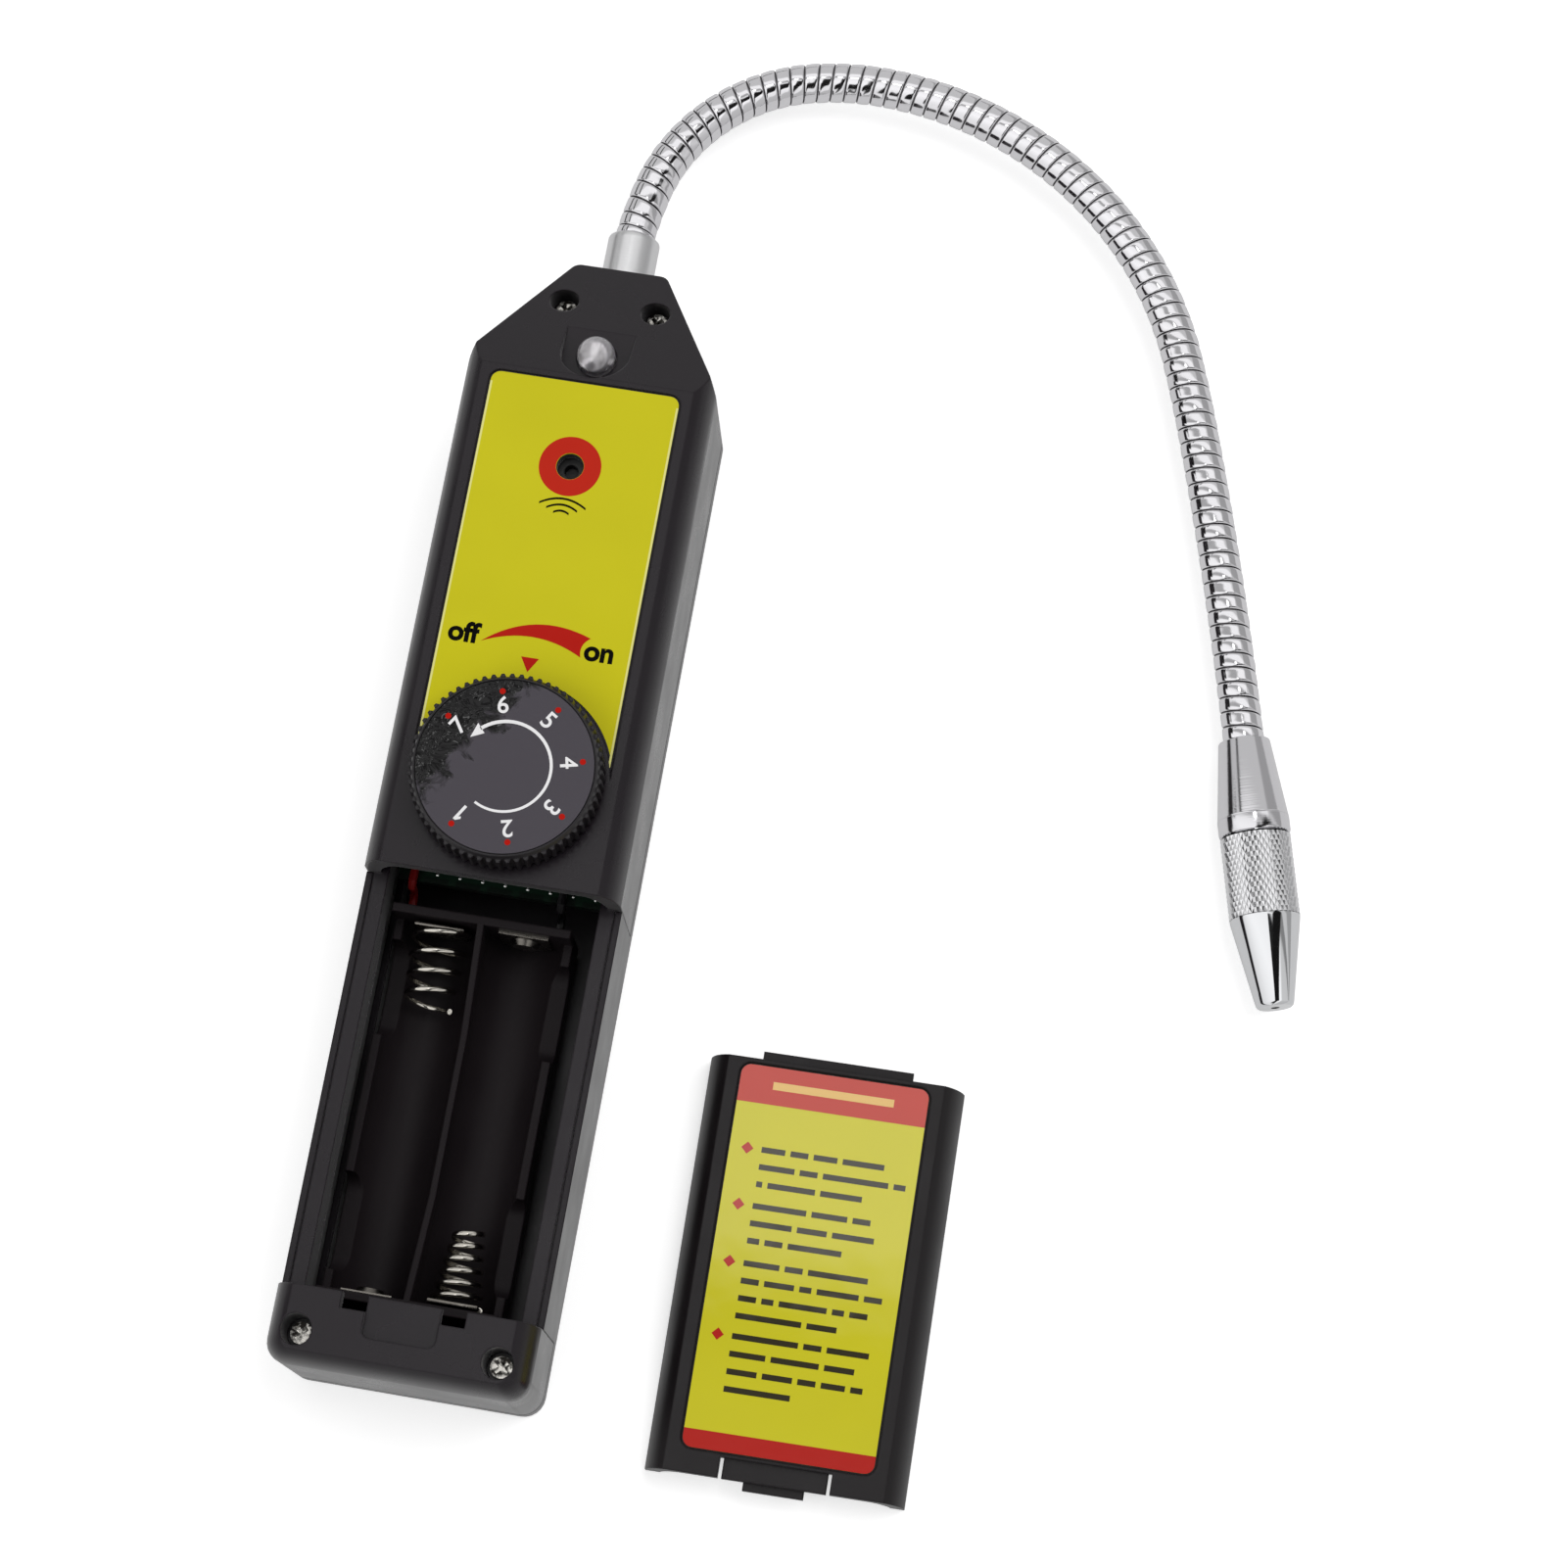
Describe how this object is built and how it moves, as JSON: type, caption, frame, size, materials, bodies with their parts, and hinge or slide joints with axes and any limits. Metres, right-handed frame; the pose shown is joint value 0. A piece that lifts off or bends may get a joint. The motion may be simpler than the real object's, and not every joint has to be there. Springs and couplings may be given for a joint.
{
  "type": "refrigerant leak detector",
  "caption": "Hand-held refrigerant leak detector: moulded case with numbered thumb knob, lamp, open battery bay and removed cover, and a chromed gooseneck with a screw-on sensor tip.",
  "frame": {"origin": "centre of the flat back that the detector lies on", "axes": "+X across the case to its right, +Y along the case towards the probe, +Z out of the front face"},
  "size_m": [0.1299, 0.2106, 0.0324],
  "materials": {
    "case_plastic": "satin, fine grain",
    "label": "printed film",
    "knob_plastic": "satin",
    "dial_print": "printed film",
    "steel": "zinc plated",
    "pot_can": "drawn can",
    "lamp": "translucent",
    "black_plastic": "moulded",
    "board": "solder mask",
    "contact_plate": "nickel plated",
    "red_insulation": "smooth",
    "black_insulation": "smooth",
    "satin_metal": "fine turned",
    "chrome": "polished",
    "socket_ceramic": "matte",
    "sensor_can": "satin"
  },
  "bodies": {
    "case": {"front_case": "case_plastic", "rear_case": "case_plastic", "battery_cover": "case_plastic", "front_label": "label", "cover_label": "label", "potentiometer": "pot_can", "pot_nut": "steel", "status_lamp": "lamp", "buzzer": "black_plastic", "circuit_board": "board", "battery_holder": "black_plastic", "spring_contacts": "contact_plate", "plate_contacts": "contact_plate", "case_screws": "steel", "red_lead": "red_insulation", "black_lead": "black_insulation", "sensor_lead": "black_insulation", "neck_collar": "satin_metal", "neck_nut": "satin_metal"},
    "knob": {"knob": "knob_plastic", "dial_label": "dial_print", "pot_shaft": "steel"},
    "link_1": {"neck_link_1": "chrome"},
    "link_2": {"neck_link_2": "chrome"},
    "link_3": {"neck_link_3": "chrome"},
    "link_4": {"neck_link_4": "chrome"},
    "link_5": {"neck_link_5": "chrome"},
    "link_6": {"neck_link_6": "chrome"},
    "link_7": {"neck_link_7": "chrome"},
    "link_8": {"neck_link_8": "chrome"},
    "link_9": {"neck_link_9": "chrome"},
    "link_10": {"neck_link_10": "chrome"},
    "link_11": {"neck_link_11": "chrome"},
    "link_12": {"neck_link_12": "chrome"},
    "link_13": {"neck_link_13": "chrome"},
    "link_14": {"neck_link_14": "chrome"},
    "link_15": {"neck_link_15": "chrome"},
    "link_16": {"neck_link_16": "chrome", "tip_ferrule": "satin_metal", "sensor_socket": "socket_ceramic", "sensor": "sensor_can"},
    "cap": {"tip_cap": "chrome"}
  },
  "joints": [
    {"name": "knob_turn", "type": "hinge", "parent": "case", "child": "knob", "pos_m": [0, 0.0012, 0.0297], "axis": [0, 0, 1], "range_deg": [-62, 238]},
    {"name": "neck_bend_1", "type": "hinge", "parent": "case", "child": "link_1", "pos_m": [0, 0.0922, 0.0073], "axis": [0.02, 0, 0.9998], "range_deg": [-2, 22.1]},
    {"name": "neck_bend_2", "type": "hinge", "parent": "link_1", "child": "link_2", "pos_m": [0.00207, 0.10284, 0.00726], "axis": [0.02, 0, 0.9998], "range_deg": [-2, 33.1]},
    {"name": "neck_bend_3", "type": "hinge", "parent": "link_2", "child": "link_3", "pos_m": [0.00798, 0.11192, 0.00714], "axis": [0.02, 0, 0.9998], "range_deg": [-2, 33.1]},
    {"name": "neck_bend_4", "type": "hinge", "parent": "link_3", "child": "link_4", "pos_m": [0.01687, 0.11812, 0.00696], "axis": [0.02, 0, 0.9998], "range_deg": [-2, 33.1]},
    {"name": "neck_bend_5", "type": "hinge", "parent": "link_4", "child": "link_5", "pos_m": [0.02743, 0.12054, 0.00675], "axis": [0.02, 0, 0.9998], "range_deg": [-2, 26.1]},
    {"name": "neck_bend_6", "type": "hinge", "parent": "link_5", "child": "link_6", "pos_m": [0.03826, 0.12013, 0.00653], "axis": [0.02, 0, 0.9998], "range_deg": [-2, 22.2]},
    {"name": "neck_bend_7", "type": "hinge", "parent": "link_6", "child": "link_7", "pos_m": [0.0488, 0.11764, 0.00632], "axis": [0.02, 0, 0.9998], "range_deg": [-2, 22.2]},
    {"name": "neck_bend_8", "type": "hinge", "parent": "link_7", "child": "link_8", "pos_m": [0.05867, 0.11316, 0.00612], "axis": [0.02, 0, 0.9998], "range_deg": [-2, 22.2]},
    {"name": "neck_bend_9", "type": "hinge", "parent": "link_8", "child": "link_9", "pos_m": [0.06749, 0.10686, 0.00595], "axis": [0.02, 0, 0.9998], "range_deg": [-2, 22.2]},
    {"name": "neck_bend_10", "type": "hinge", "parent": "link_9", "child": "link_10", "pos_m": [0.07492, 0.09897, 0.0058], "axis": [0.02, 0, 0.9998], "range_deg": [-2, 22.2]},
    {"name": "neck_bend_11", "type": "hinge", "parent": "link_10", "child": "link_11", "pos_m": [0.08069, 0.0898, 0.00568], "axis": [0.02, 0, 0.9998], "range_deg": [-2, 22.2]},
    {"name": "neck_bend_12", "type": "hinge", "parent": "link_11", "child": "link_12", "pos_m": [0.08459, 0.07969, 0.0056], "axis": [0.02, 0, 0.9998], "range_deg": [-2, 13.9]},
    {"name": "neck_bend_13", "type": "hinge", "parent": "link_12", "child": "link_13", "pos_m": [0.08798, 0.06939, 0.00554], "axis": [0.02, 0, 0.9998], "range_deg": [-2, 12]},
    {"name": "neck_bend_14", "type": "hinge", "parent": "link_13", "child": "link_14", "pos_m": [0.0912, 0.05905, 0.00547], "axis": [0.02, 0, 0.9998], "range_deg": [-2, 12]},
    {"name": "neck_bend_15", "type": "hinge", "parent": "link_14", "child": "link_15", "pos_m": [0.09425, 0.04865, 0.00541], "axis": [0.02, 0, 0.9998], "range_deg": [-2, 12]},
    {"name": "neck_bend_16", "type": "hinge", "parent": "link_15", "child": "link_16", "pos_m": [0.09713, 0.0382, 0.00535], "axis": [0.02, 0, 0.9998], "range_deg": [-2, 12]},
    {"name": "cap_unscrew", "type": "hinge", "parent": "link_16", "child": "cap", "pos_m": [0.10311, 0.01502, 0.00523], "axis": [0.2498, -0.9683, -0.005], "range_deg": [0, 2160]}
  ]
}
